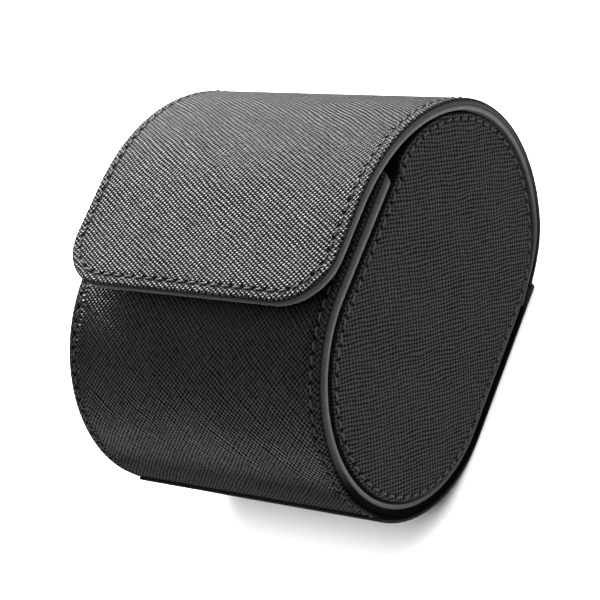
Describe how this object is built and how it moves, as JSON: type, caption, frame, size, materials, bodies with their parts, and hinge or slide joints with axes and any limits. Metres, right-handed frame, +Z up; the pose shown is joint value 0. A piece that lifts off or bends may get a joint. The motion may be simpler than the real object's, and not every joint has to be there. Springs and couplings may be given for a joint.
{
  "type": "watch_travel_case",
  "caption": "Compact watch travel case in black cross-hatched leather, with a rounded tub, padded end panels and a wrap-over flap that folds back from a watch pillow",
  "frame": {"origin": "bottom centre of the bounding box, on the underside of the sole", "axes": "+Z up from the sole, +Y towards the round end that opens, +X towards the right-hand end panel seen from the closed round front"},
  "size_m": [0.0746, 0.098, 0.0746],
  "materials": {
    "black_leather": "cross-hatched calf leather, semi-matt",
    "grey_lining": "smooth lining leather with painted edge",
    "stiff_board": "compressed fibre board, raw",
    "foam": "soft foam",
    "steel": "nickel plated",
    "suede_lining": "soft suede-like microfibre"
  },
  "bodies": {
    "case": {"sole": "black_leather", "front_leather": "black_leather", "front_board": "stiff_board", "front_lining": "grey_lining", "keeper_plates": "steel", "tail_leather": "black_leather", "tail_board": "stiff_board", "tail_lining": "grey_lining", "end_leather_right": "black_leather", "end_foam_right": "foam", "end_board_right": "stiff_board", "end_lining_right": "suede_lining", "end_leather_left": "black_leather", "end_foam_left": "foam", "end_board_left": "stiff_board", "end_lining_left": "suede_lining"},
    "back": {"back_leather": "black_leather", "back_board": "stiff_board", "back_lining": "grey_lining"},
    "flap": {"flap_leather": "black_leather", "flap_board": "stiff_board", "flap_lining": "grey_lining", "flap_magnets": "steel"},
    "cushion": {"pillow_foam": "foam", "pillow_cover_wrap": "suede_lining", "pillow_end_caps": "suede_lining"}
  },
  "joints": [
    {"name": "back_bend", "type": "hinge", "parent": "case", "child": "back", "pos_m": [0, 0.02607, 0.00265], "axis": [-1, 0, 0], "range_deg": [0, 35]},
    {"name": "flap_bend", "type": "hinge", "parent": "back", "child": "flap", "pos_m": [0, 0.04695, 0.04643], "axis": [-1, 0, 0], "range_deg": [0, 125]},
    {"name": "pillow_slide", "type": "slide", "parent": "case", "child": "cushion", "axis": [0, 1, 0], "range_m": [0, 0.005]}
  ]
}
